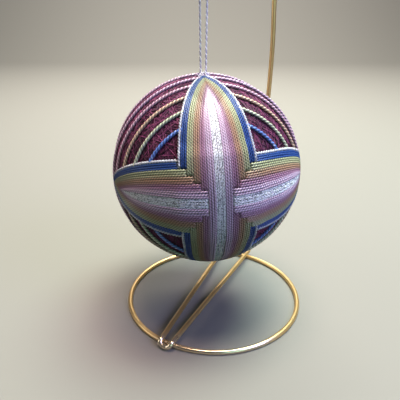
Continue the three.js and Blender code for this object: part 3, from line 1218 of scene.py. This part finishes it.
LEG_LEFT_BACK, LEG_LEFT_FRONT = 81.1, 236.5
LEG_RIGHT_FRONT, LEG_RIGHT_BACK = 244.2, 60.6
TAIL = (
    Bend(0.1, LEG_LEFT_BACK + 0.2, 1.9),
    Bend(-0.2, LEG_LEFT_BACK + 0.2, 2.9),
    Bend(-1.4, LEG_LEFT_BACK + 0.1, 3.7),
)
NOSE = (
    Bend(-1.3, LEG_LEFT_FRONT + 0.2, 3.65),
    Bend(-0.2, LEG_LEFT_FRONT + 0.7, 2.7),
    Bend(0.1, LEG_LEFT_FRONT + 2.0, 1.8),
    Bend(0.2, (LEG_LEFT_FRONT + LEG_RIGHT_FRONT) / 2, 1.6),
    Bend(0.1, LEG_RIGHT_FRONT - 2.0, 1.8),
    Bend(-0.2, LEG_RIGHT_FRONT - 0.7, 2.7),
    Bend(-1.3, LEG_RIGHT_FRONT - 0.2, 3.65),
)
HEEL = (
    Bend(-1.0, LEG_RIGHT_BACK, 4.4),
    Bend(0.4, LEG_RIGHT_BACK, 6.2),
    Bend(0.9, LEG_RIGHT_BACK, 10.0),
)

# Points of the upright, in millimetres to the right of the ball, behind it and over the floor
UPRIGHT = ((31.5, 44.5, 40), (33.9, 45.4, 72), (35.5, 46, 103), (36.1, 46, 130), (35.6, 46, 151))
STRAIGHT_PARTS = (0, 0.06, 0.5, 0.94, 1)
ARCH_FROM, ARCH_TO, ARCH_POINTS = 180, 0, 9
HOOK_FROM, HOOK_TO, HOOK_POINTS = 205, 390, 8
RING_POINTS = 361
WIRE_STEP = 0.5 * MM
WIRE_SIDES = 20

# Plain wire isn't twisted, so its pitches are longer than it is
RING_WIRE_PITCH, STAND_WIRE_PITCH = 1.0, 1000.0


def stand_route(stand):
    """The stand's one bent wire, from the tail of the left leg to the tip of the hook."""
    ring = on_floor(RING_MIDDLE)
    nose_radius = stand.ring_radius + stand.wire + 2 * stand.seat_gap
    leg_height = stand.ring_height + stand.wire + stand.seat_gap

    def by_ring(radius, degrees, height):
        way = math.radians(degrees)
        return ring + (radius * math.cos(way), radius * math.sin(way), height)

    def bends(points):
        return [
            by_ring(nose_radius + bend.past_nose * MM, bend.angle, bend.height * MM)
            for bend in points
        ]

    def leg(start, end):
        ends = [by_ring(stand.ring_radius, degrees, leg_height) for degrees in (start, end)]
        return [ends[0] + (ends[1] - ends[0]) * part for part in STRAIGHT_PARTS]

    hook, upright, way = hook_plane(stand)
    span = np.linalg.norm(hook - upright)
    arch_radius = (span - stand.hook_radius) / 2

    def arc(centre, radius, start, end, count):
        turns = np.radians(np.linspace(start, end, count))[:, None]
        out = way * (centre + radius * np.cos(turns))
        return upright + out + TOP * (stand.hook_height + radius * np.sin(turns))

    return np.array([
        *bends(TAIL),
        *leg(LEG_LEFT_BACK, LEG_LEFT_FRONT),
        *bends(NOSE),
        *leg(LEG_RIGHT_FRONT, LEG_RIGHT_BACK),
        *bends(HEEL),
        *(on_floor(BALL_CENTRE) + np.array(UPRIGHT) * MM),
        *arc(arch_radius, arch_radius, ARCH_FROM, ARCH_TO, ARCH_POINTS),
        *arc(span, stand.hook_radius, HOOK_FROM, HOOK_TO, HOOK_POINTS),
    ])


def flat_below(points):
    """Points with their heights kept from going below the floor."""
    return np.maximum(points, (-np.inf, -np.inf, 0))


class TEMARI_OT_bend_stand(Operator):
    """Bend the stand's ring and wire from round brass"""

    bl_idname = "temari.bend_stand"
    bl_label = "Bend Stand"

    def execute(self, context):
        stand = context.scene.temari_stand
        colours = context.scene.temari_colours
        finishes = [brass_finish(colours)]
        tints = (np.array(colours.brass),) * 2
        section = round_section(WIRE_SIDES)

        out = turned(np.linspace(0, 2 * np.pi, RING_POINTS), RIGHT, -FRONT)
        circle = on_floor(RING_MIDDLE) + out * stand.ring_radius + TOP * stand.ring_height
        ring = Strand(circle, all_up(circle), stand.wire, RING_WIRE_PITCH, 0.0, tints)
        piece = thread_piece("brass_ring", [ring], section, finishes, flat_below)
        stands_for("stand_ring")

        route = even_route(smooth_route(stand_route(stand), CURVE_STEPS), WIRE_STEP)
        outward = carried_normals(route, TOP)
        wire = Strand(route, outward, stand.wire, STAND_WIRE_PITCH, 0.0, tints, round_ends=True)
        piece = thread_piece("brass_stand_wire", [wire], section, finishes)
        stands_for("stand_wire")
        return {"FINISHED"}


# The stage
CAMERA_FROM_BALL = np.array((-2.93, -208.98, 75.81)) * MM
CAMERA_PITCH = math.radians(66.01)
CAMERA_LENS = 40.5
CAMERA_NEAR = 0.01
FLOOR_HALF_WIDTH = 2.0
FLOOR_FRONT = -1.5
FLOOR_BACK = 1.0
SWEEP_RADIUS = 0.5
SWEEP_STEPS = 24
WALL_TOP = 2.0
WORLD_LIGHT = 0.02


class Lamp(NamedTuple):
    """A soft light: where it stands from the ball's middle, and what it aims at, if not that."""

    name: str
    place: tuple
    watts: float
    code: str
    width: float = 0.35
    aim: tuple = (0, 0, 0)


LAMPS = (
    Lamp("overhead_light", (0, -0.02, 0.7), 7.4, "ffe4d6"),
    Lamp("high_back_light", (0.207, 0.12, 0.658), 8.6, "e2fff0"),
    Lamp("right_light", (0.47, -0.329, 0.402), 3.2, "c2c2ff"),
    Lamp("low_front_light", (0.286, -0.613, 0.181), 0.7, "c4fff3"),
    Lamp("left_fill", (-0.674, -0.059, 0.181), 1.05, "ffffff"),
    Lamp("backdrop_light", (0, 0.55, 0.7), 20.0, "fffaf2", width=0.6, aim=(0, 1.2, -0.1)),
)


class TEMARI_OT_set_stage(Operator):
    """Set the camera, a pale floor that sweeps up behind, and soft lights"""

    bl_idname = "temari.set_stage"
    bl_label = "Set Stage"

    def execute(self, context):
        scene = context.scene
        self.add_camera(scene)
        self.add_floor(scene)
        for lamp in LAMPS:
            self.add_lamp(scene, lamp)
        scene.world = scene.world or bpy.data.worlds.new("soft_room")
        scene.world.use_nodes = True
        background = scene.world.node_tree.nodes["Background"]
        background.inputs["Color"].default_value = (1, 1, 1, 1)
        background.inputs["Strength"].default_value = WORLD_LIGHT
        scene.view_settings.view_transform = "Standard"
        return {"FINISHED"}

    def add_camera(self, scene):
        """The camera, a little above the ball and in front of it."""
        data = bpy.data.cameras.new("photo_camera")
        data.lens = CAMERA_LENS
        data.clip_start = CAMERA_NEAR
        camera = bpy.data.objects.new("photo_camera", data)
        camera.location = BALL_CENTRE + CAMERA_FROM_BALL
        camera.rotation_euler = (CAMERA_PITCH, 0, 0)
        scene.collection.objects.link(camera)
        scene.camera = camera

    def add_floor(self, scene):
        """The floor, which bends up into a wall far behind."""
        profile = [(FLOOR_FRONT, 0.0)]
        for bend in np.linspace(0, np.pi / 2, SWEEP_STEPS + 1):
            depth = FLOOR_BACK + SWEEP_RADIUS * math.sin(bend)
            profile.append((depth, SWEEP_RADIUS * (1 - math.cos(bend))))
        profile.append((FLOOR_BACK + SWEEP_RADIUS, WALL_TOP))
        points = [(x, y, z) for y, z in profile for x in (-FLOOR_HALF_WIDTH, FLOOR_HALF_WIDTH)]
        faces = [(2 * i, 2 * i + 1, 2 * i + 3, 2 * i + 2) for i in range(len(profile) - 1)]
        mesh = bpy.data.meshes.new("floor")
        mesh.from_pydata(points, [], faces)
        mesh.materials.append(floor_finish(scene.temari_colours))
        mesh.shade_smooth()
        floor = bpy.data.objects.new("floor", mesh)
        scene.collection.objects.link(floor)
        # The underside of the ball stays in shade, so the floor throws no light back
        floor.visible_diffuse = False

    def add_lamp(self, scene, lamp):
        """A round soft light that faces what it aims at."""
        data = bpy.data.lights.new(lamp.name, "AREA")
        data.shape = "DISK"
        data.size = lamp.width
        data.energy = lamp.watts
        data.color = linear(lamp.code)
        light = bpy.data.objects.new(lamp.name, data)
        light.location = BALL_CENTRE + lamp.place
        aim = Vector(lamp.aim) - Vector(lamp.place)
        light.rotation_euler = aim.to_track_quat("-Z", "Y").to_euler()
        scene.collection.objects.link(light)


# The steps in the order in which they are made, and what the add-on registers
STEPS = (
    TEMARI_OT_set_stage,
    TEMARI_OT_hang_loop,
    TEMARI_OT_wind_core,
    TEMARI_OT_wind_ground,
    TEMARI_OT_lay_rings,
    TEMARI_OT_stitch_spindles,
    TEMARI_OT_sew_foot,
    TEMARI_OT_bend_stand,
)


class TEMARI_PT_making(Panel):
    """Lists the steps of making the ball, in order"""

    bl_idname = "TEMARI_PT_making"
    bl_label = "Temari Ball"
    bl_space_type = "VIEW_3D"
    bl_region_type = "UI"
    bl_category = "Temari"

    def draw(self, context):
        for step in STEPS:
            self.layout.operator(step.bl_idname)


GROUPS = {
    "temari_ball": TemariBallSizes,
    "temari_colours": TemariColours,
    "temari_stand": TemariStandSizes,
}


def register():
    for group in GROUPS.values():
        bpy.utils.register_class(group)
    for name, group in GROUPS.items():
        setattr(bpy.types.Scene, name, PointerProperty(type=group))
    for step in (*STEPS, TEMARI_PT_making):
        bpy.utils.register_class(step)


def unregister():
    for step in (TEMARI_PT_making, *reversed(STEPS)):
        bpy.utils.unregister_class(step)
    for name in GROUPS:
        delattr(bpy.types.Scene, name)
    for group in reversed(GROUPS.values()):
        bpy.utils.unregister_class(group)


def main():
    register()
    bpy.ops.temari.set_stage()
    bpy.ops.temari.hang_loop()
    bpy.ops.temari.wind_core()
    bpy.ops.temari.wind_ground()
    bpy.ops.temari.lay_rings()
    bpy.ops.temari.stitch_spindles()
    bpy.ops.temari.sew_foot()
    bpy.ops.temari.bend_stand()


if __name__ == "__main__":
    main()
